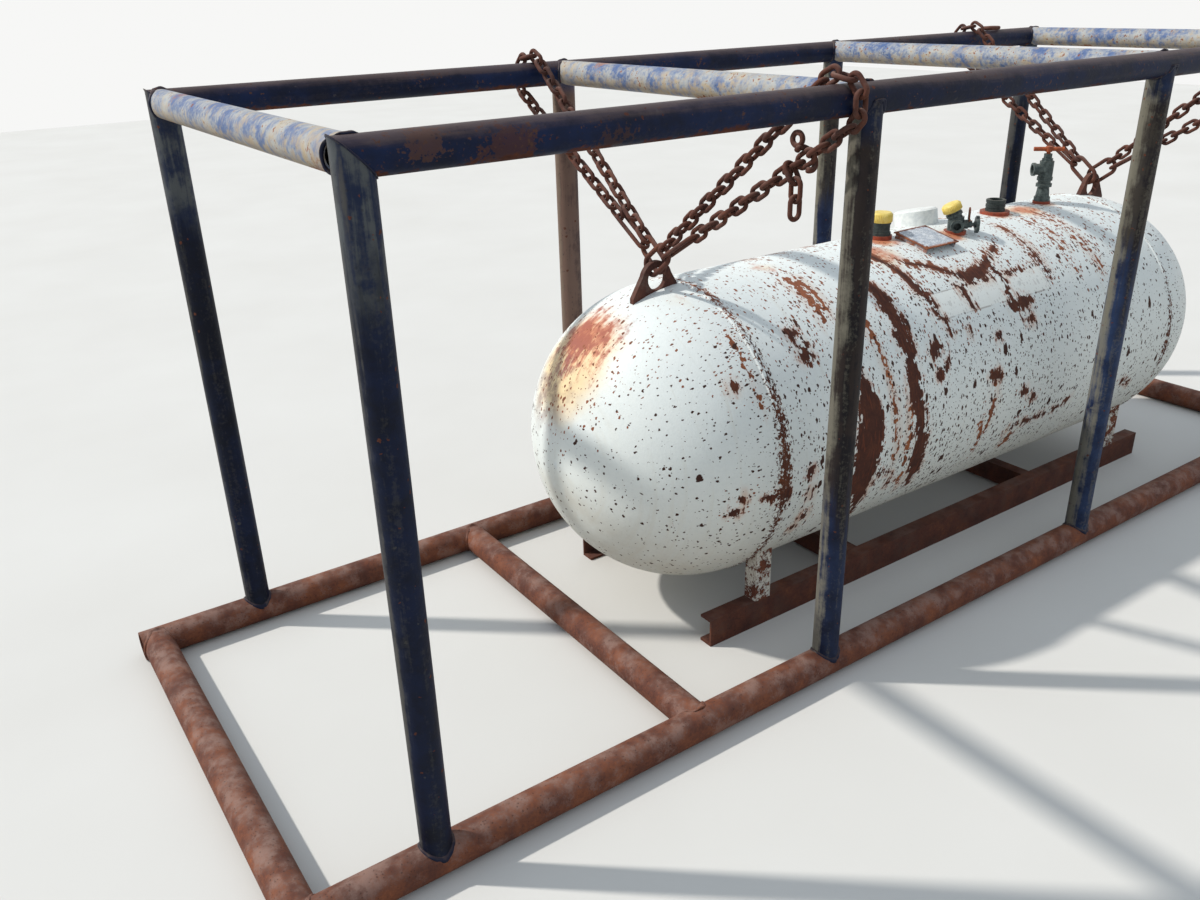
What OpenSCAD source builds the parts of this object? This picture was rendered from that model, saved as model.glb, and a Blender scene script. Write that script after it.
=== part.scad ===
// Horizontal pressure tank on its skid, held by chains inside a welded pipe cage.
// Millimetres. X runs along the tank (the near end is -X), -Y is the front, Z is up, floor at Z = 0.

/* [Tank] */
// Outside diameter of the tank
tank_od = 762; // [600:1:1000]
// Overall length of the tank over both heads
tank_len = 2402; // [1800:1:3600]
// Wall thickness of shell and heads
tank_wall = 5; // [4:0.5:12]
// Height of the tank axis above the floor
tank_z = 470; // [440:1:620]
// Middle of the tank along the cage
tank_x = 290; // [0:1:300]
// Width and height of the raised weld bead at each seam
bead = 2.5; // [1:0.5:4]

/* [Lifting lugs] */
// Distance of each lug outboard of its seam
lug_out = 75; // [70:1:90]
// Thickness of the lug plate
lug_t = 14; // [10:1:16]
// Height of the lug hole centre above the tank axis
lug_hole_h = 402; // [400:1:406]
// Radius of the lug hole
lug_hole_r = 27; // [26:1:30]

/* [Fittings] */
// Position of the fill riser along X
riser_x = 180; // [120:1:230]
// Position of the service valve along X
service_x = 420; // [410:1:460]
// Position of the open coupling along X
coupling_x = 690; // [620:1:760]
// Position of the tall valve along X
tall_x = 925; // [860:1:980]
// Bore radius of the open coupling
coupling_bore = 19.5; // [15:0.5:22]

/* [Cage] */
// Spacing of the cage frames
bay = 1016; // [900:1:1200]
// Distance between the front and back rail axes
cage_w = 1050; // [1000:1:1200]
// Height of the top rail axis
rail_z = 1304; // [1250:1:1500]
// Outside diameter of the cage pipes
pipe_od = 60.3; // [48:0.1:73]
// Wall of the cage pipes
pipe_wall = 3.9; // [3:0.1:6]
// Outside diameter of the base pipes
base_od = 73; // [60:0.1:89]
// Wall of the base pipes
base_wall = 5.2; // [4:0.1:8]
// Reach of the base beyond the end frames
base_reach = 259; // [200:1:300]

/* [Skid] */
// Height of the skid channels
skid_h = 76; // [60:1:84]
// Flange width of the skid channels
skid_b = 40; // [35:1:50]
// Half the distance over the skid runners
skid_y = 285; // [270:1:300]
// Half the length of the skid
skid_half = 945; // [850:1:950]

/* [Chain] */
// Bar diameter of the chain
ch_d = 10; // [8:0.5:10]
// Inside width of a link
ch_w = 15; // [15:0.5:16]
// Inside length of a link
ch_l = 35; // [34:0.5:36]

/* [Hidden] */
$fn = 96;
R = tank_od / 2;
shell_len = tank_len - tank_od;
seam_n = tank_x - shell_len / 2;
seam_f = tank_x + shell_len / 2;
pr = pipe_od / 2;
br = base_od / 2;
hw = cage_w / 2;
fx = [-1.5 * bay, -0.5 * bay, 0.5 * bay, 1.5 * bay];
base_end = 1.5 * bay + base_reach;
cross_x = [-base_end, -890, base_end];
leg_dx = shell_len / 2 - 45;
lug_n = seam_n - lug_out;
lug_f = seam_f + lug_out;
zh = tank_z + lug_hole_h;
service_y = -65;
service_z = 866;
service_foot = service_z - 16.5; // top of the collar under the service valve
tall_turn = 38; // the tall valve's outlet, turned from -X towards the back
bead_top = 5;
bead_foot = 9;
cover_a = -12;
plate_a = 12.3;

// Helpers
function unit(v) = v / norm(v);
function my(p) = [p.x, -p.y, p.z];
function total(v, n, i = 0) = i >= n ? 0 : v[i] + total(v, n, i + 1);
function strand(p, d, n, s) = [for (i = [0:n]) p + (ceil(i / 2) * flat_l + floor(i / 2) * edge_l + i * s) * d];

module along_x(x0, x1, y, z, r) { translate([x0, y, z]) rotate([0, 90, 0]) cylinder(h = x1 - x0, r = r); }
module along_y(x, y0, y1, z, r) { translate([x, y0, z]) rotate([-90, 0, 0]) cylinder(h = y1 - y0, r = r); }
module tank_solid() { along_x(seam_n - 60, seam_f + 60, 0, tank_z, R, $fn = 288); }
module head_ball(x) { translate([x, 0, tank_z]) sphere(r = R, $fn = 240); }

// Tank
module tank_shell() {
    color([0.88, 0.87, 0.83]) difference() {
        translate([tank_x, 0, tank_z]) rotate([0, 90, 0]) rotate_extrude($fn = 288) polygon([
            [R - tank_wall, -shell_len / 2], [R + bead, -shell_len / 2], [R + bead, -shell_len / 2 + bead_top],
            [R, -shell_len / 2 + bead_foot], [R, shell_len / 2 - bead_foot], [R + bead, shell_len / 2 - bead_top],
            [R + bead, shell_len / 2], [R - tank_wall, shell_len / 2]]);
        translate([coupling_x, 0, tank_z + R - 30]) cylinder(h = 60, r = coupling_bore + 2);
    }
}
module head(x, dir) { // a half ball with its part of the weld bead
    translate([x, 0, tank_z]) rotate([0, dir * 90, 0]) rotate_extrude($fn = 288) {
        intersection() {
            difference() {
                circle(r = R, $fn = 288);
                circle(r = R - tank_wall, $fn = 288);
            }
            square([R + 10, R + 10]);
        }
        polygon([[R - 3, 0], [R + bead, 0], [R + bead, bead_top], [R - 0.1, bead_foot], [R - 3, bead_foot]]);
    }
}
module tank_head_near() { color([0.88, 0.87, 0.83]) head(seam_n, -1); }
module tank_head_far() { color([0.88, 0.87, 0.83]) head(seam_f, 1); }

module lug(x, seam) {
    difference() {
        translate([x, lug_t / 2, zh]) rotate([90, 0, 0]) linear_extrude(height = lug_t) difference() {
            union() {
                circle(r = lug_hole_r + 16);
                polygon([[-71, -80], [71, -80], [71, -38], [41, 12], [-41, 12], [-71, -38]]);
            }
            circle(r = lug_hole_r);
        }
        head_ball(seam);
    }
}
module lifting_lug_near() { color([0.3, 0.3, 0.3]) lug(lug_n, seam_n); }
module lifting_lug_far() { color([0.3, 0.3, 0.3]) lug(lug_f, seam_f); }

// red collars that carry the fittings, coped to the shell
module fitting_bosses() {
    color([0.6, 0.25, 0.16]) difference() {
        union() {
            translate([riser_x, 0, tank_z + R - 20]) cylinder(h = 30, r = 32);
            translate([service_x, service_y, tank_z + R - 40]) cylinder(h = service_foot - tank_z - R + 40, r = 31);
            translate([coupling_x, 0, tank_z + R - 20]) cylinder(h = 28, r = 43);
            translate([tall_x, 0, tank_z + R - 20]) cylinder(h = 28, r = 26);
        }
        tank_solid();
        translate([coupling_x, 0, tank_z + R - 30]) cylinder(h = 60, r = coupling_bore + 2);
    }
}
module data_plate() {
    color([0.55, 0.6, 0.66]) translate([272, 0, tank_z]) rotate([plate_a, 0, 0]) {
        translate([-66, -60, R + 11]) cube([132, 120, 3]);
        difference() {
            union() {
                translate([-60, -56, R - 8]) cube([4, 112, 19]);
                translate([56, -56, R - 8]) cube([4, 112, 19]);
            }
            translate([-100, 0, 0]) rotate([0, 90, 0]) cylinder(h = 200, r = R, $fn = 288);
        }
    }
}
module gauge_cover() {
    color([0.88, 0.87, 0.83]) translate([430, 0, tank_z]) rotate([cover_a, 0, 0]) difference() {
        union() {
            translate([0, 0, R - 12]) cylinder(h = 50, r = 62);
            translate([0, 0, R + 38]) cylinder(h = 5, r1 = 62, r2 = 55);
        }
        translate([-100, 0, 0]) rotate([0, 90, 0]) cylinder(h = 200, r = R, $fn = 288);
        translate([0, 0, R - 20]) cylinder(h = 55, r = 58);
    }
}
module fill_riser() {
    color([0.2, 0.22, 0.2]) translate([riser_x, 0, tank_z + R + 10]) {
        cylinder(h = 8, r = 28);
        translate([0, 0, 8]) cylinder(h = 22, r = 25);
        translate([0, 0, 30]) cylinder(h = 6, r = 27);
    }
}
module fill_cap() {
    color([0.88, 0.76, 0.35]) translate([riser_x, 0, tank_z + R + 46]) {
        cylinder(h = 22, r = 29);
        translate([0, 0, 22]) cylinder(h = 4, r1 = 29, r2 = 25);
    }
}

// service valve: its own frame has X towards the handwheel and -Y towards the outlet
module service_frame() { translate([service_x, service_y, service_z]) rotate([0, 0, -45]) children(); }
module service_stem() { translate([0, 0, 14]) rotate([0, -25, 0]) children(); }
module service_valve_body() {
    color([0.3, 0.34, 0.3]) service_frame() difference() {
        union() {
            translate([0, 0, service_foot - service_z]) cylinder(h = service_z + 22 - service_foot, r = 22);
            service_stem() cylinder(h = 26, r = 19);
            service_stem() translate([0, 0, 12]) cylinder(h = 7, r = 23);
            rotate([90, 0, 0]) cylinder(h = 38, r = 16);
            translate([0, -32, 0]) rotate([90, 0, 0]) cylinder(h = 6, r = 18);
            rotate([0, 90, 0]) cylinder(h = 34, r = 13, $fn = 6);
            rotate([0, 90, 0]) cylinder(h = 44, r = 9.5);
            translate([33, 0, 8]) rotate([0, 90, 0]) cylinder(h = 6, r = 7);
        }
        translate([0, -16, 0]) rotate([90, 0, 0]) cylinder(h = 30, r = 10.5);
        translate([26, 0, 0]) rotate([0, 90, 0]) cylinder(h = 30, r = 5.6);
    }
}
module service_valve_cap() {
    color([0.88, 0.76, 0.35]) service_frame() service_stem() {
        translate([0, 0, 26]) cylinder(h = 18, r = 26);
        translate([0, 0, 44]) cylinder(h = 4, r1 = 26, r2 = 22);
    }
}
module service_valve_tag() {
    color([0.35, 0.2, 0.15]) service_frame() difference() {
        union() {
            translate([33, -12, 10]) cube([3, 24, 26]);
            translate([33, 0, 36]) rotate([0, 90, 0]) cylinder(h = 3, r = 12);
        }
        translate([30, 0, 36]) rotate([0, 90, 0]) cylinder(h = 10, r = 6);
        rotate([0, 90, 0]) cylinder(h = 60, r = 9.5);
        translate([30, 0, 8]) rotate([0, 90, 0]) cylinder(h = 12, r = 7);
    }
}
module service_valve_handwheel() { // a scalloped wheel on its stem
    color([0.35, 0.42, 0.38]) service_frame() rotate([0, 90, 0]) {
        translate([0, 0, 30]) cylinder(h = 24, r = 5);
        translate([0, 0, 50]) cylinder(h = 14, r = 9);
        translate([0, 0, 54]) linear_extrude(height = 9) difference() {
            circle(r = 24);
            for (a = [30:60:330]) rotate(a) translate([26, 0]) circle(r = 6);
        }
    }
}
module open_coupling() {
    color([0.2, 0.22, 0.2]) translate([coupling_x, 0, tank_z + R + 8]) difference() {
        union() {
            cylinder(h = 34, r = 26.6);
            for (z = [0, 12, 26]) translate([0, 0, z]) cylinder(h = 7, r = 28.6);
        }
        translate([0, 0, -1]) cylinder(h = 40, r = coupling_bore);
    }
}
module tall_valve_body() {
    color([0.4, 0.45, 0.42]) translate([tall_x, 0, tank_z + R + 8]) rotate(-tall_turn) difference() {
        union() {
            cylinder(h = 12, r = 24);
            translate([0, 0, 12]) cylinder(h = 32, r1 = 21, r2 = 17);
            translate([0, 0, 44]) cylinder(h = 9, r = 25, $fn = 8);
            translate([0, 0, 53]) cylinder(h = 10, r = 19);
            translate([0, 0, 63]) cylinder(h = 10, r = 23);
            translate([0, 0, 73]) cylinder(h = 48, r = 21);
            translate([0, 0, 121]) cylinder(h = 8, r = 17, $fn = 6);
            translate([0, 0, 129]) cylinder(h = 14, r = 12);
            translate([0, 0, 96]) rotate([0, -90, 0]) cylinder(h = 40, r = 17);
            translate([-34, 0, 96]) rotate([0, -90, 0]) cylinder(h = 8, r = 20);
        }
        translate([-22, 0, 96]) rotate([0, -90, 0]) cylinder(h = 30, r = 13);
        translate([0, 0, 124]) cylinder(h = 30, r = 6.6);
    }
}
module tall_valve_handle() {
    color([0.8, 0.4, 0.25]) translate([tall_x, 0, tank_z + R + 8]) {
        translate([0, 0, 126]) cylinder(h = 30, r = 6);
        translate([0, 0, 149]) cylinder(h = 16, r = 10);
        translate([0, 0, 157]) rotate([90, 0, 45]) cylinder(h = 88, r = 6.5, center = true);
    }
}

// Skid
module leg(x, sy, sx) {
    translate([x, 0, 0]) {
        translate([-25, sy > 0 ? skid_y - 6 : -skid_y, skid_h]) cube([50, 6, 170]);
        translate([sx > 0 ? 19 : -25, sy > 0 ? skid_y - 40 : -skid_y + 6, skid_h]) cube([6, 34, 170]);
    }
}
module tank_legs() {
    color([0.75, 0.73, 0.68]) difference() {
        union() {
            leg(tank_x - leg_dx, -1, -1);
            leg(tank_x - leg_dx, 1, -1);
            leg(tank_x + leg_dx, -1, 1);
            leg(tank_x + leg_dx, 1, 1);
        }
        tank_solid();
    }
}
module channel_x(y0, dir) { // web on the outer side, flanges inward
    x0 = tank_x - skid_half;
    translate([x0, dir > 0 ? y0 - 5 : y0, 0]) cube([2 * skid_half, 5, skid_h]);
    for (z = [0, skid_h - 7])
        translate([x0, dir > 0 ? y0 - skid_b : y0 + 5, z]) cube([2 * skid_half, skid_b - 5, 7]);
}
module skid_runner_front() { color([0.3, 0.18, 0.13]) channel_x(-skid_y, -1); }
module skid_runner_back() { color([0.3, 0.18, 0.13]) channel_x(skid_y, 1); }
module skid_cross_members() {
    color([0.3, 0.18, 0.13]) for (x = [tank_x - 395, tank_x + 395]) {
        translate([x - 20, -skid_y + 5, 7]) cube([5, 2 * skid_y - 10, skid_h - 14]);
        for (z = [7, skid_h - 13])
            translate([x - 15, -skid_y + 5, z]) cube([35, 2 * skid_y - 10, 6]);
    }
}

// Cage
module mitre(x, y, dir, keep_rail) { // what comes off at a corner
    translate([x, y, rail_z]) rotate([0, dir < 0 ? 45 : -45, 0])
        translate([-100, -60, keep_rail ? -200 : 0]) cube([200, 120, 200]);
}
module post(i, y) {
    corner = i == 0 || i == 3;
    difference() {
        translate([fx[i], y, br]) cylinder(h = rail_z - br + (corner ? 60 : 0), r = pr);
        translate([fx[i], y, 0]) cylinder(h = rail_z + 200, r = pr - pipe_wall);
        along_x(fx[i] - 80, fx[i] + 80, y, br, br);
        if (corner) mitre(fx[i], y, i == 0 ? -1 : 1, false);
        if (!corner) along_x(fx[i] - 80, fx[i] + 80, y, rail_z, pr);
    }
}
module post_front_1() { color([0.25, 0.32, 0.45]) post(0, -hw); }
module post_front_2() { color([0.25, 0.32, 0.45]) post(1, -hw); }
module post_front_3() { color([0.25, 0.32, 0.45]) post(2, -hw); }
module post_front_4() { color([0.25, 0.32, 0.45]) post(3, -hw); }
module post_back_1() { color([0.25, 0.32, 0.45]) post(0, hw); }
module post_back_2() { color([0.25, 0.32, 0.45]) post(1, hw); }
module post_back_3() { color([0.25, 0.32, 0.45]) post(2, hw); }
module post_back_4() { color([0.25, 0.32, 0.45]) post(3, hw); }
module top_rail(y) {
    difference() {
        along_x(fx[0] - 60, fx[3] + 60, y, rail_z, pr);
        along_x(fx[0] - 80, fx[3] + 80, y, rail_z, pr - pipe_wall);
        mitre(fx[0], y, -1, true);
        mitre(fx[3], y, 1, true);
    }
}
module top_rail_front() { color([0.16, 0.19, 0.3]) top_rail(-hw); }
module top_rail_back() { color([0.16, 0.19, 0.3]) top_rail(hw); }
module top_cross(i) {
    difference() {
        along_y(fx[i], -hw, hw, rail_z, pr);
        along_y(fx[i], -hw - 10, hw + 10, rail_z, pr - pipe_wall);
        for (y = [-hw, hw]) {
            along_x(fx[i] - 80, fx[i] + 80, y, rail_z, pr);
            translate([fx[i], y, rail_z - 100]) cylinder(h = 100, r = pr);
        }
    }
}
module top_cross_1() { color([0.6, 0.66, 0.72]) top_cross(0); }
module top_cross_2() { color([0.6, 0.66, 0.72]) top_cross(1); }
module top_cross_3() { color([0.6, 0.66, 0.72]) top_cross(2); }
module top_cross_4() { color([0.6, 0.66, 0.72]) top_cross(3); }
module base_rail(y) {
    difference() {
        along_x(-base_end - br, base_end + br, y, br, br);
        along_x(-base_end - br - 10, base_end + br + 10, y, br, br - base_wall);
    }
}
module base_rail_front() { color([0.45, 0.28, 0.2]) base_rail(-hw); }
module base_rail_back() { color([0.45, 0.28, 0.2]) base_rail(hw); }
module base_cross_pipes() {
    color([0.45, 0.28, 0.2]) for (x = cross_x) difference() {
        along_y(x, -hw, hw, br, br);
        along_y(x, -hw - 10, hw + 10, br, br - base_wall);
        for (y = [-hw, hw]) along_x(x - 100, x + 100, y, br, br);
    }
}

// Chain
module oval(bar, w, l) { // a link along X, flat in XY
    for (s = [-1, 1]) {
        translate([-(l - w) / 2, s * (w + bar) / 2, 0]) rotate([0, 90, 0]) cylinder(h = l - w, r = bar / 2);
        translate([s * (l - w) / 2, 0, 0]) rotate([0, 0, -s * 90])
            rotate_extrude(angle = 180) translate([(w + bar) / 2, 0]) circle(r = bar / 2);
    }
}
module place(p, q, edge) {
    d = unit(q - p);
    s = unit([1, 0, 0] - d.x * d);
    t = cross(d, s);
    y = edge ? t : s;
    z = edge ? -s : t;
    c = (p + q) / 2;
    multmatrix([[d.x, y.x, z.x, c.x], [d.y, y.y, z.y, c.y], [d.z, y.z, z.z, c.z], [0, 0, 0, 1]]) children();
}

// a sling from a lug to a rail and back, in the front half; back = true mirrors the points in Y
// its links lie flat and on edge by turns, and it bends about the end bars of the flat ones
th0 = 48.5;
top_l = 84; // inside length of the large link in a lug
slack = 1.7; // from the middle of a link's round end to the bar that lies in it
most_slack = (ch_w - ch_d) / 2 - 0.3;
flat_l = ch_l + ch_d;
edge_l = ch_l - ch_w;
sideways = [1, 3, 1.4, 2.2, 0.6]; // how the five links round the rail share the step along it
lean = [0, -0.7895, 0.6138];
side = [0, 0.6138, 0.7895];
module sling(xt, back, shift, spread, tail = false) { // shift: from the lug to the middle of the turn
    eye = [xt, 0, zh + 32];
    c1 = eye + 5 * lean;
    c2 = c1 + (top_l - 34) * lean;
    qa = c2 + 6.8 * lean + 9.6 * side;
    qb = c2 + 6.8 * lean - 9.6 * side;
    dx = spread * sideways / total(sideways, 5);
    half = [for (i = [0:4]) sqrt(pow((i % 2 == 0 ? edge_l : flat_l) + slack, 2) - pow(dx[i], 2)) / 2];
    rw = norm([pr + ch_d + ch_w / 2 + 0.3, half[0]]);
    step = [for (h = half) 2 * asin(h / rw)];
    wrap = [for (i = [0:5]) let (a = th0 + total(step, i))
        [xt + shift - spread / 2 + total(dx, i), -hw + rw * cos(a), rail_z + rw * sin(a)]];
    la = norm(wrap[0] - qa);
    da = unit(wrap[0] - qa);
    k = ceil((la - flat_l - most_slack / 2) / (flat_l + edge_l + 2 * most_slack));
    sa = (la - (k + 1) * flat_l - k * edge_l) / (2 * k + 0.5);
    up = strand(qa - sa / 2 * da, da, 2 * k + 1, sa);
    db = unit(qb - wrap[5]);
    down = strand(wrap[5], db, 2 * k - 2, slack);
    long = norm(qb - down[2 * k - 2]) - ch_d - slack / 2;
    pts0 = concat(up, [for (i = [1:5]) wrap[i]], [for (i = [1:2 * k - 2]) down[i]], [qb + slack / 2 * db]);
    pts = back ? [for (p = pts0) my(p)] : pts0;
    n = len(pts) - 1;
    for (i = [0:n - 1]) place(pts[i], pts[i + 1], i % 2 == 1) oval(ch_d, ch_w, i == n - 1 ? long : ch_l);
    t0 = c1 - 17 * lean;
    t1 = c2 + 17 * lean;
    place(back ? my(t0) : t0, back ? my(t1) : t1, true) oval(12, 34, top_l);
    if (tail) hang(pts[2 * k + 10], pts[2 * k + 11]);
}
module hang(p, q) { // three links that hang from one side of the flat link between p and q
    d = unit(q - p);
    s = unit([1, 0, 0] - d.x * d);
    t = cross(d, s);
    low = [0, 0, -1];
    a = (p + q) / 2 - (ch_w + ch_d) / 2 * s + (edge_l / 2 + 2) * t;
    b = a + flat_l / 2 * t + (edge_l / 2 + 2) * low;
    c = b + (edge_l / 2 + 2 + flat_l / 2) * low;
    place(a - t, a + t, false) oval(ch_d, ch_w, ch_l);
    place(b - low, b + low, true) oval(ch_d, ch_w, ch_l);
    place(c - low, c + low, false) oval(ch_d, ch_w, ch_l);
}
module chain_near_front() { color([0.35, 0.22, 0.17]) sling(lug_n - 13, false, 38, 18, tail = true); }
module chain_near_back() { color([0.35, 0.22, 0.17]) sling(lug_n + 13, true, -18, -18); }
module chain_far_front() { color([0.35, 0.22, 0.17]) sling(lug_f + 13, false, 0, 18); }
module chain_far_back() { color([0.35, 0.22, 0.17]) sling(lug_f - 13, true, 0, -18); }
module chain_rings() {
    color([0.35, 0.22, 0.17]) translate([1290, hw, rail_z + pr + 6.4]) oval(12, 22, 52);
}

tank_shell();
tank_head_near();
tank_head_far();
lifting_lug_near();
lifting_lug_far();
fitting_bosses();
data_plate();
gauge_cover();
fill_riser();
fill_cap();
service_valve_body();
service_valve_cap();
service_valve_tag();
service_valve_handwheel();
open_coupling();
tall_valve_body();
tall_valve_handle();
tank_legs();
skid_runner_front();
skid_runner_back();
skid_cross_members();
post_front_1();
post_front_2();
post_front_3();
post_front_4();
post_back_1();
post_back_2();
post_back_3();
post_back_4();
top_rail_front();
top_rail_back();
top_cross_1();
top_cross_2();
top_cross_3();
top_cross_4();
base_rail_front();
base_rail_back();
base_cross_pipes();
chain_near_front();
chain_near_back();
chain_far_front();
chain_far_back();
chain_rings();
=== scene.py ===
# Looks for the horizontal pressure tank in its pipe cage. Metres, in the CAD model's frame.
import math

import bmesh
import bpy
from mathutils import Matrix, Vector


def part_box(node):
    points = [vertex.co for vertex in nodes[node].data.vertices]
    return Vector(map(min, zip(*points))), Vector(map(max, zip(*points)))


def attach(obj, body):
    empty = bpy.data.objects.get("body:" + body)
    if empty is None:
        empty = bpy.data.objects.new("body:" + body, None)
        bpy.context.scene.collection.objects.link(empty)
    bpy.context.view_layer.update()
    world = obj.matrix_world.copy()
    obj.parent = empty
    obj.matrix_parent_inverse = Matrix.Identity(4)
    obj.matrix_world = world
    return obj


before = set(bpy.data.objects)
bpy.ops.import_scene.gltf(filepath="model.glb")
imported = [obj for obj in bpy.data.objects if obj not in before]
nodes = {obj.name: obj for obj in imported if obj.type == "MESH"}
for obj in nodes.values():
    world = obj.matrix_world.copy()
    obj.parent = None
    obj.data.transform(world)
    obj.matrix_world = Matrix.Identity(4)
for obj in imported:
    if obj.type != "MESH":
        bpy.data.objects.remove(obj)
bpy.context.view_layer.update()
scene = bpy.context.scene


def middle(name, axis):
    """The middle of a node's box along axis 0, 1 or 2."""
    low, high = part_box(name)
    return (low[axis] + high[axis]) / 2


# Main places, read from the frame
SEAM_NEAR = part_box("tank_shell")[0].x
SEAM_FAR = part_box("tank_shell")[1].x
TANK_Z = middle("tank_head_near", 2)
TANK_R = SEAM_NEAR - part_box("tank_head_near")[0].x
TANK_MID = (SEAM_NEAR + SEAM_FAR) / 2
RAIL_Z = middle("top_rail_front", 2)
PIPE_R = (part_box("top_rail_front")[1].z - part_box("top_rail_front")[0].z) / 2
CAGE_Y = -middle("post_front_1", 1)
BASE_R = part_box("base_rail_front")[1].z / 2
FRAMES_X = [middle(f"post_front_{i}", 0) for i in (1, 2, 3, 4)]


def linear(r, g, b):
    """An sRGB colour given in 0..255 as linear RGBA."""
    def one(c):
        c /= 255
        return c / 12.92 if c <= 0.04045 else ((c + 0.055) / 1.055) ** 2.4
    return (one(r), one(g), one(b), 1.0)


class Net:
    """Short calls for building one node tree."""

    def __init__(self, tree):
        self.tree = tree
        self.nodes = tree.nodes
        self.links = tree.links

    def put(self, socket, value):
        if isinstance(value, bpy.types.NodeSocket):
            self.links.new(value, socket)
        elif value is not None:
            socket.default_value = value

    def node(self, kind, **settings):
        n = self.nodes.new(kind)
        for key, value in settings.items():
            setattr(n, key, value)
        return n

    def math(self, op, a, b=None, c=None, clamp=False):
        n = self.node("ShaderNodeMath", operation=op, use_clamp=clamp)
        for socket, value in zip(n.inputs, (a, b, c)):
            self.put(socket, value)
        return n.outputs[0]

    def fold(self, op, values):
        out = values[0]
        for value in values[1:]:
            out = self.math(op, out, value)
        return out

    def add(self, *values):
        return self.fold("ADD", values)

    def mul(self, *values):
        return self.fold("MULTIPLY", values)

    def most(self, *values):
        return self.fold("MAXIMUM", values)

    def sub(self, a, b):
        return self.math("SUBTRACT", a, b)

    def size(self, value):
        return self.math("ABSOLUTE", value)

    def sway(self, noise, amount):
        """The noise centred on 0 and scaled by amount."""
        return self.mul(self.sub(noise, 0.5), amount)

    def step(self, value, low, high):
        """0 below low, 1 above high, smooth between. low may be above high."""
        n = self.node("ShaderNodeMapRange", interpolation_type="SMOOTHSTEP")
        self.put(n.inputs["Value"], value)
        n.inputs["From Min"].default_value = min(low, high)
        n.inputs["From Max"].default_value = max(low, high)
        n.inputs["To Min"].default_value = 1.0 if low > high else 0.0
        n.inputs["To Max"].default_value = 0.0 if low > high else 1.0
        return n.outputs[0]

    def between(self, value, low, high, soft):
        """1 between low and high, with soft edges inside them."""
        return self.mul(self.step(value, low, low + soft), self.step(value, high, high - soft))

    def vector(self, op, a, b=None, scale=None):
        n = self.node("ShaderNodeVectorMath", operation=op)
        self.put(n.inputs[0], a)
        if b is not None:
            self.put(n.inputs[1], b)
        if scale is not None:
            self.put(n.inputs["Scale"], scale)
        return n.outputs["Value"] if op in ("DOT_PRODUCT", "DISTANCE") else n.outputs[0]

    def xyz(self, vector):
        n = self.node("ShaderNodeSeparateXYZ")
        self.put(n.inputs[0], vector)
        return n.outputs[0], n.outputs[1], n.outputs[2]

    def join(self, x, y, z):
        n = self.node("ShaderNodeCombineXYZ")
        for socket, value in zip(n.inputs, (x, y, z)):
            self.put(socket, value)
        return n.outputs[0]

    def noise(self, vector, scale, detail=4.0, rough=0.55, colour=False):
        n = self.node("ShaderNodeTexNoise", noise_dimensions="3D")
        self.put(n.inputs["Vector"], vector)
        self.put(n.inputs["Scale"], scale)
        n.inputs["Detail"].default_value = detail
        n.inputs["Roughness"].default_value = rough
        return n.outputs["Color" if colour else "Fac"]

    def mix(self, fac, a, b):
        n = self.node("ShaderNodeMix", data_type="RGBA")
        self.put(n.inputs["Factor"], fac)
        self.put(n.inputs[6], a)
        self.put(n.inputs[7], b)
        return n.outputs[2]

    def tones(self, fac, first, second):
        """From one sRGB colour to another."""
        return self.mix(fac, linear(*first), linear(*second))

    def over(self, colour, mask, amount, tint):
        """The colour with an sRGB tint laid over it where the mask is."""
        return self.mix(self.mul(mask, amount), colour, linear(*tint))

    def blend(self, fac, a, b):
        n = self.node("ShaderNodeMix", data_type="FLOAT")
        self.put(n.inputs["Factor"], fac)
        self.put(n.inputs[2], a)
        self.put(n.inputs[3], b)
        return n.outputs[0]

    def curve(self, value, points):
        """A smooth curve through (input, output) points, flat beyond both ends."""
        xs = [p[0] for p in points]
        ys = [p[1] for p in points]
        x0, x1, y0, y1 = min(xs), max(xs), min(ys), max(ys)
        span_x = (x1 - x0) or 1.0
        span_y = (y1 - y0) or 1.0
        t = self.math("MULTIPLY_ADD", value, 1 / span_x, -x0 / span_x, clamp=True)
        n = self.node("ShaderNodeFloatCurve")
        line = n.mapping.curves[0]
        while len(line.points) < len(points):
            line.points.new(0.5, 0.5)
        for spot, (x, y) in zip(line.points, sorted(points)):
            spot.location = ((x - x0) / span_x, (y - y0) / span_y)
            spot.handle_type = "AUTO_CLAMPED"
        n.mapping.update()
        self.put(n.inputs["Value"], t)
        return self.math("MULTIPLY_ADD", n.outputs[0], span_y, y0)

    def group(self, tree, **values):
        n = self.node("ShaderNodeGroup")
        n.node_tree = tree
        for key, value in values.items():
            self.put(n.inputs[key], value)
        return n.outputs


def new_group(name, inputs, outputs):
    """A node group: its Net, the sockets given to it and the sockets it gives out."""
    tree = bpy.data.node_groups.new(name, "ShaderNodeTree")
    kinds = {"v": "NodeSocketVector", "f": "NodeSocketFloat", "c": "NodeSocketColor"}
    for key, kind, value in inputs:
        s = tree.interface.new_socket(name=key, in_out="INPUT", socket_type=kinds[kind])
        if value is not None:
            s.default_value = value
    for key, kind in outputs:
        tree.interface.new_socket(name=key, in_out="OUTPUT", socket_type=kinds[kind])
    net = Net(tree)
    return net, net.node("NodeGroupInput").outputs, net.node("NodeGroupOutput").inputs


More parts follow.
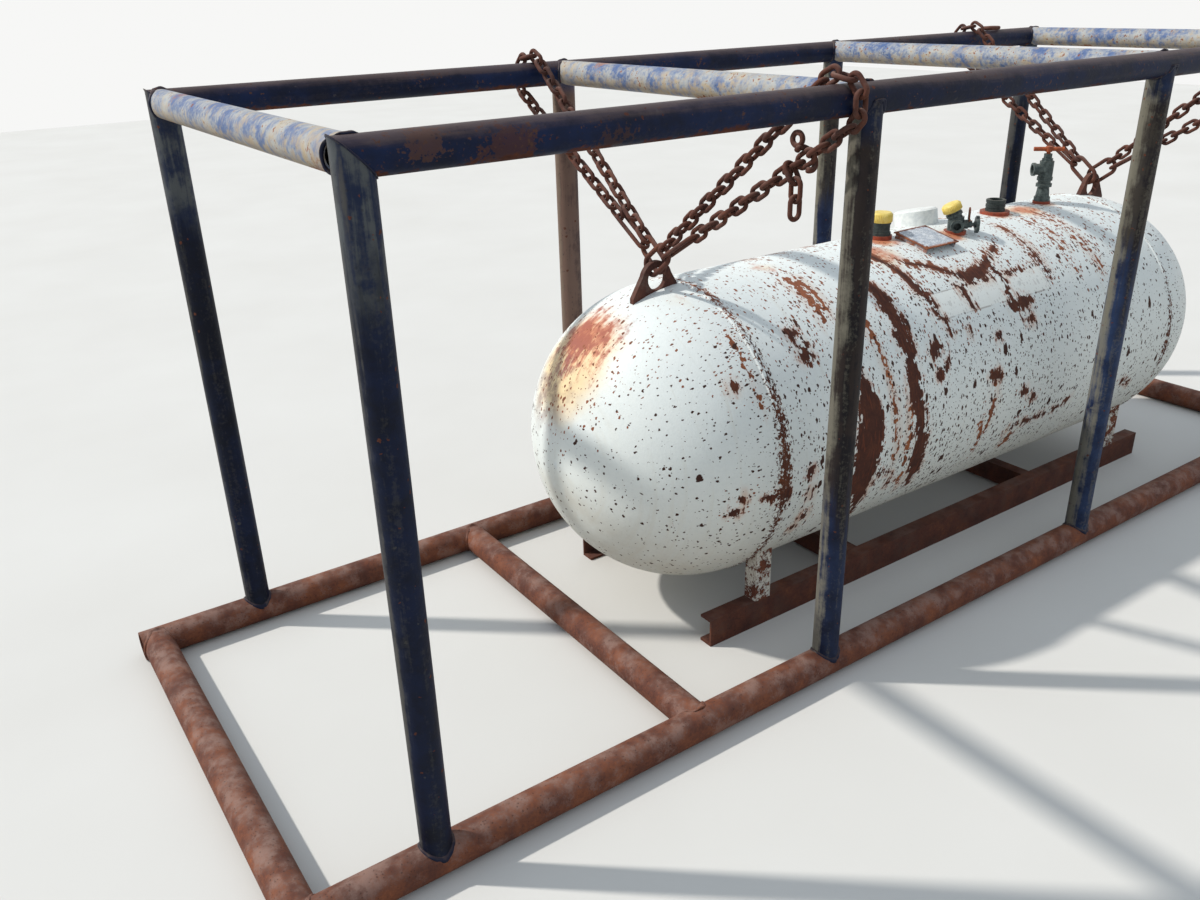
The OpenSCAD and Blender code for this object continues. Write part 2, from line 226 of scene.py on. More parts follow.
def flecks_group(name, dimensions):
    """Round chips of many sizes: one per Voronoi cell, in that part of the cells that Amount says.
    Small and Large are radii in cells."""
    net, given, out = new_group(
        name,
        [("Vector", "v", None), ("Scale", "f", 30.0), ("Amount", "f", 0.5),
         ("Small", "f", 0.1), ("Large", "f", 0.35)],
        [("Mask", "f")])
    bend = net.noise(given["Vector"], net.mul(given["Scale"], 2.4), 2.0, colour=True)
    bend = net.vector("SUBTRACT", bend, (0.5, 0.5, 0.5))
    bend = net.vector("SCALE", bend, scale=net.math("DIVIDE", 0.55, given["Scale"]))
    cell = net.node("ShaderNodeTexVoronoi", voronoi_dimensions=dimensions)
    net.put(cell.inputs["Vector"], net.vector("ADD", given["Vector"], bend))
    net.put(cell.inputs["Scale"], given["Scale"])
    red, green, _ = net.xyz(cell.outputs["Color"])
    here = net.math("LESS_THAN", red, given["Amount"])
    size = net.blend(net.math("POWER", green, 1.5), given["Small"], given["Large"])
    dot = net.step(net.sub(size, cell.outputs["Distance"]), 0.0, 0.04)
    net.put(out["Mask"], net.mul(here, dot))
    return net.tree


# Rust from its lightest to its darkest: (place on the ramp, sRGB colour)
RUST_TONES = [(0.0, (172, 104, 62)), (0.3, (126, 74, 50)), (0.55, (92, 54, 42)), (0.8, (66, 40, 35)),
              (1.0, (44, 30, 29))]


def rust_group():
    """Rust: its colour from orange to nearly black, and its crust."""
    net, given, out = new_group(
        "rust",
        [("Vector", "v", None), ("Dark", "f", 0.5)],
        [("Color", "c"), ("Height", "f")])
    broad = net.noise(given["Vector"], 14.0, 5.0, 0.6)
    fine = net.noise(given["Vector"], 160.0, 4.0, 0.65)
    ramp = net.node("ShaderNodeValToRGB")
    net.put(ramp.inputs[0], net.add(net.mul(broad, 0.9), net.mul(fine, 0.5), net.sub(given["Dark"], 0.75)))
    points = ramp.color_ramp.elements
    while len(points) < len(RUST_TONES):
        points.new(0.5)
    for point, (place, tone) in zip(points, RUST_TONES):
        point.position = place
        point.color = linear(*tone)
    net.put(out["Color"], ramp.outputs[0])
    net.put(out["Height"], net.add(net.mul(fine, 0.6), net.mul(broad, 0.4)))
    return net.tree


FLECKS = flecks_group("flecks", "3D")
SHEET_FLECKS = flecks_group("sheet_flecks", "2D")
RUST = rust_group()


class Finish:
    """One material: coordinates, a Net and the shader that the masks feed."""

    def __init__(self, name):
        self.material = bpy.data.materials.new(name)
        self.material.use_nodes = True
        self.net = Net(self.material.node_tree)
        self.shader = self.net.nodes["Principled BSDF"]
        self.place = self.net.node("ShaderNodeTexCoord").outputs["Object"]
        self.normal = self.net.node("ShaderNodeNewGeometry").outputs["Normal"]

    def spot(self, centre, radius):
        """1 at centre, falling to 0 at radius metres."""
        return self.net.step(self.net.vector("DISTANCE", self.place, centre), radius, 0.0)

    def flecks(self, scale, amount, small, large):
        return self.net.group(FLECKS, Vector=self.place, Scale=scale, Amount=amount, Small=small,
                              Large=large)["Mask"]

    def rust(self, dark):
        return self.net.group(RUST, Vector=self.place, Dark=dark)

    def close(self, colour, rough, height=None, depth=0.001, metal=0.0, gloss=0.3):
        net = self.net
        net.put(self.shader.inputs["Base Color"], colour)
        net.put(self.shader.inputs["Roughness"], rough)
        net.put(self.shader.inputs["Metallic"], metal)
        self.shader.inputs["Specular IOR Level"].default_value = gloss
        if height is not None:
            bump = net.node("ShaderNodeBump")
            bump.inputs["Distance"].default_value = depth
            bump.inputs["Strength"].default_value = 1.0
            net.put(bump.inputs["Height"], height)
            net.put(self.shader.inputs["Normal"], bump.outputs[0])
        return self.material


# Tank paint. Every rust run is a curve in millimetres along the tank and in degrees round
# it from the top. The back shows the same runs, turned end for end.
MM = 1000.0
DEG = 180.0 / math.pi
ARC = TANK_R * MM / DEG

# Runs that go down the side: (angle, place along the tank, half width)
DOWN_RUNS = [
    [(26, -62, -20), (31, -66, 16), (40, -62, 27), (52, -66, 26), (64, -66, 20), (72, -74, 24), (84, -58, 23),
     (95, -48, 27), (108, -36, 30), (116, -26, 18), (124, -14, -14)],
    [(59, -246, -16), (64, -246, 12), (70, -242, 30), (78, -238, 43), (90, -244, 50), (103, -242, 46),
     (110, -236, 38), (118, -222, 24), (128, -204, 10), (138, -190, -10)],
    [(10, 40, -12), (16, 42, 15), (24, 58, 15), (34, 70, 18), (43, 84, 13), (50, 92, 9),
     (56, 104, 9), (61, 108, -10)],
    [(9, 588, -12), (14, 588, 5), (24, 590, 9), (36, 586, 11), (43, 584, 10), (50, 580, -10)],
    [(33, 386, -10), (37, 388, 13), (44, 388, 11), (50, 386, 10), (56, 392, 8), (64, 396, -10)],
    [(38, 220, -10), (43, 220, 11), (49, 224, 9), (54, 230, -10)],
]
# Thin runs, broken into dashes
THIN_RUNS = [
    [(42, -166, -10), (46, -165, 8), (60, -160, 6), (72, -152, 5), (88, -148, 7),
     (98, -142, 5), (104, -140, -8)],
    [(76, -92, -8), (80, -90, 5), (96, -90, 6), (112, -78, 6), (122, -66, -8)],
    [(14, -282, -12), (18, -276, 14), (30, -276, 9), (40, -284, 6), (46, -288, -10)],
    [(14, -252, -8), (20, -252, 9), (32, -250, 6), (40, -252, -8)],
    [(6, 804, -8), (12, 806, 4), (30, 806, 3), (48, 812, 3), (54, 812, -8)],
    [(8, 826, -8), (14, 824, 4), (32, 826, 3), (46, 828, 3), (52, 830, -8)],
    [(8, 712, -8), (14, 712, 4), (30, 714, 3), (44, 712, 3), (50, 712, -8)],
    [(12, 742, -8), (18, 742, 4), (30, 742, 3), (38, 740, -8)],
    [(80, 246, -8), (84, 246, 7), (100, 238, 9), (112, 228, 5), (118, 224, -8)],
    [(68, -566, -8), (52, -570, 4), (40, -568, 4), (34, -566, -8)],
    [(96, 212, -8), (100, 214, 9), (108, 222, 6), (114, 228, -8)],
    [(110, 388, -8), (114, 388, 12), (118, 384, 10), (122, 380, -8)],
]
# Runs that lie along the tank: (place along the tank, angle, half width)
ALONG_RUNS = [
    [(84, 19, -18), (110, 23, 10), (165, 27, 15), (220, 33, 13), (262, 36.5, 20), (300, 37, 24),
     (345, 35, 20), (385, 32.5, 16), (440, 28.5, 15), (478, 24.5, 13), (500, 21, -14)],
    [(196, 39, -8), (215, 40.3, 5), (300, 40.8, 5), (420, 40.4, 4), (560, 40.2, 3), (600, 40, -8)],
    [(345, 56, -20), (362, 54.6, 16), (400, 54.8, 21), (440, 54.4, 18), (462, 54, 14), (476, 54, -14)],
    [(6, 72.5, -8), (20, 72.5, 9), (50, 71, 9), (72, 67, 6), (86, 62, -8)],
    [(-108, 70.5, -8), (-98, 70.5, 10), (-60, 70.5, 12), (-30, 70.5, -10)],
    [(208, 79.5, -10), (226, 79.8, 9), (252, 79.8, 17), (272, 80.4, 9), (286, 80, -10)],
    [(-598, 95.5, -10), (-575, 96.2, 9), (-530, 97.2, 12), (-505, 97.6, 16), (-492, 98, -12)],
    [(330, 109, -12), (370, 108.5, 8), (430, 108, 7), (520, 108, 7), (570, 107, 9),
     (620, 105.5, 8), (650, 103, -10)],
    [(890, 106, -10), (910, 106.5, 9), (950, 108, 8), (985, 111, -10)],
    [(-300, 101, -10), (-260, 101, 6), (-200, 104, 6), (-130, 107, 4), (-104, 108, -8)],
]
# Lone chips: (place along the tank, angle, radius)
CHIPS = [
    (-398, 41.5, 17), (-392, 50.5, 22), (-372, 47, 11), (22, 63, 21), (45, 61, 15), (282, 64.6, 12),
    (-118, 113, 15), (180, 60, 10), (-440, 92, 11), (-425, 101, 13), (-430, 112, 16), (-445, 118, 12),
    (425, 95, 11), (378, 91, 13), (-618, 54, 13), (-640, 94, 13), (-655, 100, 12),
    (430, 62, 14), (300, 40, 10),
]


def ended(run, reach):
    """The run with a point beyond each end, where it is surely over."""
    first, last = run[0], run[-1]
    if len(first) == 3 and first[0] > last[0]:
        reach = -reach
    return [(first[0] - reach, first[1], -90), *run, (last[0] + reach, last[1], -90)]


def down_field(net, x, a, run):
    """How deep a point lies inside a run that goes down the side, in millimetres."""
    run = ended(run, 5.0)
    middle = net.curve(a, [(p[0], p[1]) for p in run])
    half = net.curve(a, [(p[0], p[2]) for p in run])
    return net.sub(half, net.size(net.sub(x, middle)))


def along_field(net, x, a, run):
    """The same for a run that lies along the tank."""
    run = ended(run, 30.0)
    middle = net.curve(x, [(p[0], p[1]) for p in run])
    half = net.curve(x, [(p[0], p[2]) for p in run])
    off = net.mul(net.size(net.sub(a, middle)), ARC)
    return net.sub(half, off)


def chip_field(net, x, a, chip):
    """The same for a lone round chip."""
    dx = net.sub(x, chip[0])
    da = net.mul(net.sub(a, chip[1]), ARC)
    far = net.math("SQRT", net.add(net.mul(dx, dx), net.mul(da, da)))
    return net.sub(chip[2], far)


def on_tank(x, degrees, out=0.0):
    """A point on the tank's surface: along the tank in metres, degrees from the top to the front."""
    t = math.radians(degrees)
    over = SEAM_NEAR - x if x < SEAM_NEAR else max(0.0, x - SEAM_FAR)
    r = math.sqrt(max(0.0, TANK_R ** 2 - over ** 2)) + out
    return Vector((x, -r * math.sin(t), TANK_Z + r * math.cos(t)))


# How wide the paint peels at a seam: (angle, millimetres)
SEAM_WIDTH = [(0, 6), (12, 14), (30, 10), (48, 9), (60, 15), (80, 20), (96, 25), (106, 15), (125, 16),
              (150, 9), (180, 6)]
# How dense the chips are: (place along the tank, factor) and (angle, factor)
CROWD_ALONG = [(-912, 0.16), (-700, 0.26), (-420, 0.45), (-300, 0.55), (-100, 0.72), (120, 0.85), (420, 0.80),
               (640, 0.66), (820, 0.52), (1150, 0.45), (1492, 0.25)]
CROWD_ROUND = [(0, 0.45), (20, 0.5), (42, 0.62), (55, 1.0), (75, 1.2), (100, 1.15), (125, 0.85), (150, 0.45),
               (180, 0.3)]
# Stains under the fittings: (metres along the tank, angle, radius, strength)
TOP_STAINS = [(0.16, 4, 0.085, 1.0), (0.39, 12, 0.075, 0.9), (0.685, 2, 0.085, 1.0), (0.80, 3, 0.13, 0.8),
              (0.925, 2, 0.075, 0.7), (0.07, 14, 0.13, 0.75), (-0.28, 4, 0.09, 0.55), (-0.60, 12, 0.08, 0.35)]
# The cleaner panel and the dirty rim round it, in millimetres and degrees
PANEL_ALONG, PANEL_ROUND = (99.0, 563.5), (41.0, 52.0)
RIM_ALONG, RIM_ROUND = (95.0, 567.0), (40.4, 52.6)


def tank_paint():
    f = Finish("chalky_tank_paint")
    net = f.net
    px, py, pz = net.xyz(f.place)
    up = net.sub(pz, TANK_Z)
    turn = net.mul(net.math("ARCTAN2", net.mul(py, -1.0), up), DEG)
    front = net.math("GREATER_THAN", turn, 0.0)
    a = net.size(turn)
    x_mm = net.mul(px, MM)
    x = net.blend(front, net.sub(2 * TANK_MID * MM, x_mm), x_mm)
    mid = net.noise(f.place, 26.0, 4.0, 0.65)
    fine = net.noise(f.place, 110.0, 4.0, 0.65)
    drag = net.noise(net.join(net.mul(x, 0.06), net.mul(a, 0.05), front), 1.0, 4.0, 0.6)
    scratch = net.noise(net.join(net.mul(x, 0.11), net.mul(a, 0.13), front), 1.0, 3.0, 0.6)
    chunk = net.noise(f.place, 62.0, 2.0, 0.5)
    ragged = net.add(net.sway(mid, 36.0), net.sway(chunk, 44.0), net.sway(drag, 46.0), net.sway(scratch, 56.0))
    broken = net.sway(chunk, 40.0)

    # Flat coordinates in millimetres: along and round the shell, and an equal-area disc on each head
    over = net.most(net.sub(SEAM_NEAR * MM, x_mm), net.sub(x_mm, SEAM_FAR * MM), 0.0)
    on_head = net.math("GREATER_THAN", over, 0.5)
    widen = net.math("SQRT", net.math("DIVIDE", 2.0, net.add(1.0, net.mul(over, 1 / (TANK_R * MM)))))
    flat_u = net.blend(on_head, x_mm, net.add(net.mul(net.mul(py, MM), widen), 4000.0))
    flat_v = net.blend(on_head, net.mul(turn, ARC), net.mul(net.mul(up, MM), widen))
    sheet = net.join(flat_u, flat_v, 0.0)
    drawn = net.join(flat_u, net.mul(flat_v, net.blend(on_head, 0.55, 0.85)), 0.0)

    heavy = net.most(*[down_field(net, x, a, r) for r in DOWN_RUNS],
                     *[along_field(net, x, a, r) for r in ALONG_RUNS],
                     *[chip_field(net, x, a, c) for c in CHIPS])
    thin = net.most(*[down_field(net, x, a, r) for r in THIN_RUNS])
    heavy_in = net.step(net.add(heavy, ragged), 0.0, 3.0)
    thin_in = net.step(net.add(thin, net.add(net.mul(ragged, 0.45), broken)), 0.0, 3.0)

    # Peeling along both seams, worst at half height
    near_seam = net.size(net.sub(x_mm, SEAM_NEAR * MM + 6))
    far_seam = net.add(net.size(net.sub(x_mm, SEAM_FAR * MM)), 10.0)
    seam = net.math("MINIMUM", near_seam, far_seam)
    seam_wide = net.curve(a, SEAM_WIDTH)
    flaky = net.noise(net.join(net.mul(x_mm, 0.13), net.mul(a, 0.5), 3.0), 1.0, 4.0, 0.7)
    seam_in = net.add(net.sub(seam_wide, seam), net.mul(net.sub(flaky, 0.53), 125.0))
    seam_in = net.step(seam_in, 0.0, 4.0)

    # Chips all over, dense on the lower front of the shell
    lumps = net.noise(f.place, 4.0, 3.0)
    crowd = net.mul(net.curve(x, CROWD_ALONG), net.curve(a, CROWD_ROUND), net.add(0.2, net.mul(lumps, 1.6)))

    def flecks(place, scale, amount, small, large):
        return net.group(SHEET_FLECKS, Vector=place, Scale=scale, Amount=amount, Small=small,
                         Large=large)["Mask"]

    chips = net.most(flecks(sheet, 0.042, net.mul(net.add(lumps, 0.05), 0.85), 0.05, 0.15),
                     flecks(drawn, 0.074, net.mul(crowd, 0.86), 0.07, 0.29),
                     flecks(drawn, 0.027, net.mul(crowd, 0.34), 0.05, 0.24),
                     flecks(sheet, 0.125, net.mul(crowd, 0.38), 0.08, 0.30))
    upper = flecks(drawn, 0.085, net.mul(net.step(a, 66.0, 30.0), net.mul(net.step(lumps, 0.35, 0.7), 0.55)),
                   0.06, 0.34)
    near_runs = net.step(net.most(heavy, net.sub(thin, 4.0)), -60.0, 0.0)
    top_side = net.step(a, 62.0, 44.0)
    dust = flecks(drawn, 0.14, net.mul(near_runs, net.add(0.18, net.mul(top_side, 0.5))), 0.10, 0.42)

    # Stains that tint the paint
    stain_noise = net.noise(net.join(net.mul(x_mm, 0.02), net.mul(a, 0.02), 0.0), 1.0, 4.0, 0.6)
    soft = net.noise(f.place, 9.0, 5.0, 0.6)

    def stain(along, degrees, radius, strength=1.0):
        return net.mul(f.spot(on_tank(along, degrees), radius), strength)

    lug_stain = stain(-0.83, -12, 0.25)
    lug_core = stain(-0.79, -8, 0.19)
    far_stain = stain(1.39, -3, 0.15, 0.6)
    top_core = net.most(*[stain(*row) for row in TOP_STAINS])
    flow = net.noise(net.join(net.mul(px, 9.0), net.mul(py, 60.0), net.mul(pz, 11.0)), 1.0, 5.0, 0.72)
    yellow = net.add(net.most(lug_stain, far_stain, net.mul(top_core, 0.7)), net.mul(soft, 0.55))
    yellow = net.step(yellow, 0.42, 1.05)
    red_flow = net.add(net.mul(lug_core, 0.8), net.sway(flow, 1.1), net.sway(mid, 2.2))
    red_flow = net.step(red_flow, 0.40, 0.86)
    lug_flow = net.add(lug_core, net.sway(flow, net.mul(lug_stain, 2.6)))
    orange = net.step(net.add(net.most(lug_flow, top_core), net.sway(mid, 1.3)), 0.34, 0.8)
    plum = net.mul(stain(-0.86, -26, 0.17), net.step(mid, 0.36, 0.6))
    below = net.step(net.most(net.sub(heavy, 6.0), net.sub(thin, 3.0)), -36.0, 0.0)
    weep = net.mul(below, net.step(stain_noise, 0.42, 0.72))
    # A tan tint towards the bottom of the shell, from 100 degrees round from the top downwards.
    lower_tan = net.mul(net.step(a, 100.0, 150.0), net.step(soft, 0.25, 0.75))

    cloud = net.noise(f.place, 2.6, 4.0, 0.6)
    chalk = net.tones(cloud, (216, 223, 222), (238, 241, 236))
    chalk = net.mix(net.mul(net.step(fine, 0.45, 0.8), 0.20), chalk, linear(190, 197, 198))
    streaks = net.noise(net.join(net.mul(x_mm, 0.06), net.mul(a, 0.012), front), 1.0, 3.0, 0.6)
    chalk = net.mix(net.mul(net.step(streaks, 0.52, 0.78), 0.22), chalk, linear(206, 198, 178))

    # The cleaner panel on the front of the shell, left bare
    panel = net.mul(net.between(x_mm, *PANEL_ALONG, 2.5), net.between(turn, *PANEL_ROUND, 0.4))
    edge = net.mul(net.between(x_mm, *RIM_ALONG, 2.0), net.between(turn, *RIM_ROUND, 0.4))
    rim = net.mul(net.sub(edge, panel), net.step(mid, 0.42, 0.6))
    chalk = net.over(chalk, panel, 0.6, (240, 241, 234))
    chalk = net.over(chalk, rim, 0.5, (120, 96, 80))

    paint = net.mix(net.mul(yellow, 0.75), chalk, linear(232, 196, 128))
    paint = net.over(paint, weep, 0.55, (196, 140, 96))
    paint = net.over(paint, orange, 0.8, (188, 96, 58))
    paint = net.over(paint, red_flow, 0.7, (142, 62, 50))
    paint = net.over(paint, plum, 0.7, (112, 76, 84))
    haze = net.step(net.add(heavy, net.mul(ragged, 0.9)), -13.0, 2.0)
    mottle = net.step(net.add(mid, net.sway(chunk, 0.8)), 0.44, 0.60)
    paint = net.mix(net.mul(net.mul(haze, mottle), 0.55), paint, linear(176, 108, 72))
    paint = net.over(paint, lower_tan, 0.35, (176, 158, 126))

    clean = net.sub(1.0, net.mul(panel, 0.8))
    specks = net.mul(net.most(dust, upper), clean)
    bare = net.most(heavy_in, thin_in, seam_in, net.mul(chips, clean), specks)
    deep = net.mul(net.step(heavy, -8.0, 14.0), 0.14)
    dark = net.add(net.add(0.50, deep), net.add(net.sway(scratch, 0.6), net.sway(mid, 0.7)))
    crust = net.most(heavy_in, seam_in)
    beside = net.sub(1.0, heavy_in)
    rust = net.mix(net.mul(thin_in, beside), f.rust(dark)["Color"], f.rust(0.30)["Color"])
    rust = net.over(rust, specks, beside, (132, 78, 54))
    rust = net.over(rust, chips, net.sub(1.0, crust), (58, 33, 26))
    rust = net.over(rust, crust, 0.55, (50, 22, 14))
    rust = net.over(rust, net.mul(heavy_in, net.step(scratch, 0.52, 0.64)), 0.38, (124, 64, 40))
    warm = net.mul(net.step(a, 42.0, 24.0), net.sub(1.0, net.step(heavy, 0.0, 14.0)))
    rust = net.over(rust, warm, 0.55, (150, 92, 66))
    colour = net.mix(bare, paint, rust)
    peel = net.noise(f.place, 300.0, 3.0, 0.6)
    height = net.add(net.mul(peel, 0.3), net.mul(net.noise(f.place, 55.0, 2.0), 0.2))
    rough = net.blend(bare, net.add(0.42, net.mul(fine, 0.2)), 0.86)
    return f.close(colour, rough, height, depth=0.0016)


def pipe_finish(name, deep, pale, wear_and_lit_tone=(118, 108, 96), run="z", wear_and_lit_side=(-0.86, 0.5, 0.0), wear_and_lit_amount=0.6,
                rust_amount=0.25, top_dust_and_lit=0.0, top=(98, 78, 66), under=0.0, bare=None, chalk=0.0, spots=(),
                dark=0.6):
    """Weathered pipe paint. run is the pipe's own axis; rub is a worn tone in streaks and flecks, and on the
    wear_and_lit_side it is worn paint and a painted sunlit side together; top_dust_and_lit browns what faces
    up, dust and a painted sunlit top, and under what faces down; bare gives (low, high, tone, tone) for a
    length worn to brown steel; spots are (place, radius, colour)."""
    f = Finish(name)
    net = f.net
    px, py, pz = net.xyz(f.place)
    _, _, nz = net.xyz(f.normal)
    stretch = {"x": (3.4, 60.0, 60.0), "y": (60.0, 3.4, 60.0), "z": (60.0, 60.0, 3.4)}[run]
    broad = net.noise(f.place, 3.2, 5.0, 0.62)
    mid = net.noise(f.place, 17.0, 6.0, 0.66)
    fine = net.noise(f.place, 120.0, 4.0, 0.66)
    long = net.noise(net.join(*[net.mul(c, k) for c, k in zip((px, py, pz), stretch)]), 1.0, 5.0, 0.6)
    tone = net.step(net.add(net.mul(broad, 0.5), net.mul(mid, 0.5)), 0.40, 0.64)
    colour = net.mix(tone, linear(*deep), linear(*pale))
    if chalk:
        white = net.step(net.add(net.mul(mid, 0.7), net.mul(fine, 0.35)), 0.44, 0.62)
        colour = net.mix(net.mul(white, chalk), colour, linear(182, 180, 170))
        ochre = net.step(net.add(net.mul(long, 0.55), net.mul(broad, 0.5)), 0.50, 0.66)
        colour = net.over(colour, ochre, 0.6, (186, 164, 128))
    if bare is not None:
        low, high, worn_a, worn_b = bare
        height_in = net.add(pz, net.add(net.sway(broad, 0.5), net.sway(long, 0.45)))
        worn = net.mul(net.step(height_in, low - 0.08, low + 0.12), net.step(pz, high + 0.02, high - 0.03))
        tones = net.mix(net.step(net.add(long, net.sway(mid, 0.8)), 0.4, 0.62), linear(*worn_a),
                        linear(*worn_b))
        colour = net.mix(net.mul(worn, 0.92), colour, tones)
    # Painted light over real wear: the side that faces the given direction takes the worn tone as a painted
    # sunlit side; on the posts it is the sunward side.
    facing = net.vector("DOT_PRODUCT", f.normal, Vector(wear_and_lit_side).normalized())
    rough_edge = net.add(net.sway(long, 1.9), net.sway(mid, 1.6))
    worn_and_lit = net.step(net.add(facing, rough_edge), 0.50, 1.02)
    colour = net.over(colour, worn_and_lit, wear_and_lit_amount, wear_and_lit_tone)
    thin_rub = net.step(net.add(net.mul(long, 0.6), net.mul(fine, 0.45)), 0.54, 0.66)
    colour = net.mix(net.mul(thin_rub, 0.35 * wear_and_lit_amount), colour, linear(*wear_and_lit_tone))
    # Painted light with real dust: what faces up is browned, dust and a painted sunlit top together.
    if top_dust_and_lit:
        up_side = net.step(net.add(nz, net.mul(rough_edge, 0.55)), 0.25, 0.95)
        colour = net.over(colour, up_side, top_dust_and_lit, top)
    level = net.add(net.add(net.mul(mid, 0.65), net.mul(broad, 0.45)), net.mul(fine, 0.26))
    if under:
        level = net.add(level, net.mul(net.step(net.mul(nz, -1.0), 0.1, 0.9), under * 0.3))
    cut = 1.02 - 0.46 * rust_amount
    rusty = net.step(level, cut, cut + 0.09)
    for place, radius, tint in spots:
        broken = net.add(net.sway(mid, 2.2), net.sway(fine, 2.8))
        spot = net.step(net.add(f.spot(place, radius), broken), 0.45, 0.6)
        colour = net.mix(net.mul(spot, 0.65), colour, linear(*tint))
    rusty = net.most(rusty, net.mul(f.flecks(75.0, 0.12 + 0.3 * rust_amount, 0.08, 0.32), 0.85))
    rust = f.rust(dark)
    colour = net.mix(rusty, colour, rust["Color"])
    colour = net.over(colour, f.flecks(130.0, 0.3, 0.08, 0.34), 0.35, (30, 28, 34))
    colour = net.over(colour, f.flecks(46.0, 0.14, 0.05, 0.22), 0.4, wear_and_lit_tone)
    height = net.add(net.mul(fine, 0.4), net.mul(net.noise(f.place, 17.0, 3.0, 0.66), 0.3))
    rough = net.blend(rusty, net.add(0.36, net.mul(mid, 0.3)), 0.88)
    return f.close(colour, rough, height, depth=0.0014, gloss=0.14)


def bare_rust(name, dark=0.55, tint=None, tint_amount=0.0, depth=0.0014, dust_and_highlight=0.2):
    """Bare steel that has rusted all over, with a thin crust, and a lighter tone on top that is dust and a
    painted highlight.
    """
    f = Finish(name)
    net = f.net
    _, _, nz = net.xyz(f.normal)
    mid = net.noise(f.place, 20.0, 5.0, 0.65)
    fine = net.noise(f.place, 210.0, 4.0, 0.7)
    rust = f.rust(dark)
    colour = rust["Color"]
    if tint is not None:
        patch = net.step(net.add(net.mul(mid, 0.75), net.mul(fine, 0.3)), 0.50, 0.66)
        colour = net.over(colour, patch, tint_amount, tint)
    # Dust and a painted highlight: what faces up is lightened towards a pale pinkish brown.
    dust = net.mul(net.step(nz, 0.3, 1.0), net.step(mid, 0.35, 0.65))
    colour = net.mix(net.mul(dust, dust_and_highlight), colour, linear(150, 124, 112))
    pits = f.flecks(190.0, 0.35, 0.1, 0.4)
    colour = net.over(colour, pits, 0.45, (44, 32, 30))
    height = net.sub(net.add(net.mul(rust["Height"], 0.8), net.mul(fine, 0.4)), net.mul(pits, 0.4))
    return f.close(colour, net.add(0.74, net.mul(fine, 0.2)), height, depth=depth)


def fitting_finish(name, paint_a, paint_b, rust_amount=0.25, rough=0.5, metal=0.0):
    """Small painted or cast fittings: mottled colour, dust on what faces up, rust in places."""
    f = Finish(name)
    net = f.net
    mid = net.noise(f.place, 70.0, 5.0, 0.65)
    fine = net.noise(f.place, 260.0, 4.0, 0.65)
    _, _, nz = net.xyz(f.normal)
    colour = net.mix(net.step(mid, 0.35, 0.65), linear(*paint_a), linear(*paint_b))
    cut = 0.86 - 0.5 * rust_amount
    rusty = net.step(net.add(net.mul(mid, 0.7), net.mul(fine, 0.4)), cut, cut + 0.1)
    rust = f.rust(0.5)
    colour = net.mix(rusty, colour, rust["Color"])
    dust = net.mul(net.step(nz, 0.4, 1.0), net.step(fine, 0.4, 0.7))
    colour = net.over(colour, dust, 0.3, (176, 162, 140))
    height = net.add(net.mul(fine, 0.5), net.mul(rusty, 0.4))
    return f.close(colour, net.blend(rusty, net.add(rough - 0.1, net.mul(fine, 0.2)), 0.85), height,
                   depth=0.0006, metal=metal)


def data_plate_finish():
    """A bare grey plate with a rusted rim."""
    f = Finish("weathered_plate")
    net = f.net
    mid = net.noise(f.place, 60.0, 5.0, 0.65)
    fine = net.noise(f.place, 400.0, 3.0, 0.6)
    low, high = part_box("data_plate")
    x, y, _ = net.xyz(f.place)
    off_x = net.math("ABSOLUTE", net.sub(x, (low.x + high.x) / 2))
    off_y = net.math("ABSOLUTE", net.sub(y, (low.y + high.y) / 2))
    edge = net.math("MINIMUM", net.sub((high.x - low.x) / 2, off_x), net.sub((high.y - low.y) / 2, off_y))
    rim = net.step(net.add(edge, net.sway(mid, 0.02)), 0.012, 0.003)
    # The greys carry a bluish cast, partly a painted sky reflection.
    colour = net.tones(net.step(mid, 0.35, 0.65), (170, 178, 188), (212, 215, 217))
    colour = net.mix(net.step(fine, 0.52, 0.62), colour, linear(120, 128, 140))
    rust = f.rust(0.35)
    colour = net.mix(rim, colour, rust["Color"])
    return f.close(colour, net.blend(rim, 0.46, 0.85), net.add(net.mul(fine, 0.4), rim), depth=0.0006)


def leg_finish():
    """White paint that flakes off rusty angle steel."""
    f = Finish("flaking_leg_paint")
    net = f.net
    mid = net.noise(f.place, 34.0, 6.0, 0.7)
    fine = net.noise(f.place, 180.0, 4.0, 0.65)
    gone = net.step(net.add(net.mul(mid, 0.8), net.mul(fine, 0.3)), 0.53, 0.57)
    rust = f.rust(0.5)
    white = net.tones(net.step(fine, 0.4, 0.7), (214, 210, 200), (180, 170, 154))
    colour = net.mix(gone, white, rust["Color"])
    height = net.add(net.mul(net.sub(1.0, gone), 0.8), net.mul(fine, 0.3))
    return f.close(colour, net.blend(gone, 0.55, 0.88), height, depth=0.0012)


TANK = tank_paint()
# Each post's worn tone lies on its sunward side: wear, and a painted sunlit side.
POST_BLUE = pipe_finish("post_navy", (8, 13, 27), (17, 28, 54), (84, 82, 76), wear_and_lit_amount=0.62,
                        rust_amount=0.14, bare=(1.10, 1.34, (84, 88, 90), (30, 40, 64)))
POST_BROWN = pipe_finish("post_worn_brown", (14, 20, 40), (32, 44, 72), (118, 114, 102), wear_and_lit_amount=0.8,
                         rust_amount=0.24, bare=(0.46, 1.24, (44, 36, 32), (20, 16, 17)))
POST_TAN = pipe_finish("post_tan_brown", (58, 66, 100), (84, 90, 116), (128, 112, 96), rust_amount=0.3,
                       bare=(0.25, 1.27, (112, 88, 74), (80, 60, 52)))
POST_FAR = pipe_finish("post_blue_grey", (20, 30, 56), (44, 60, 92), (122, 118, 104), wear_and_lit_amount=0.75,
                       rust_amount=0.2, bare=(0.80, 1.24, (62, 56, 48), (34, 27, 25)))
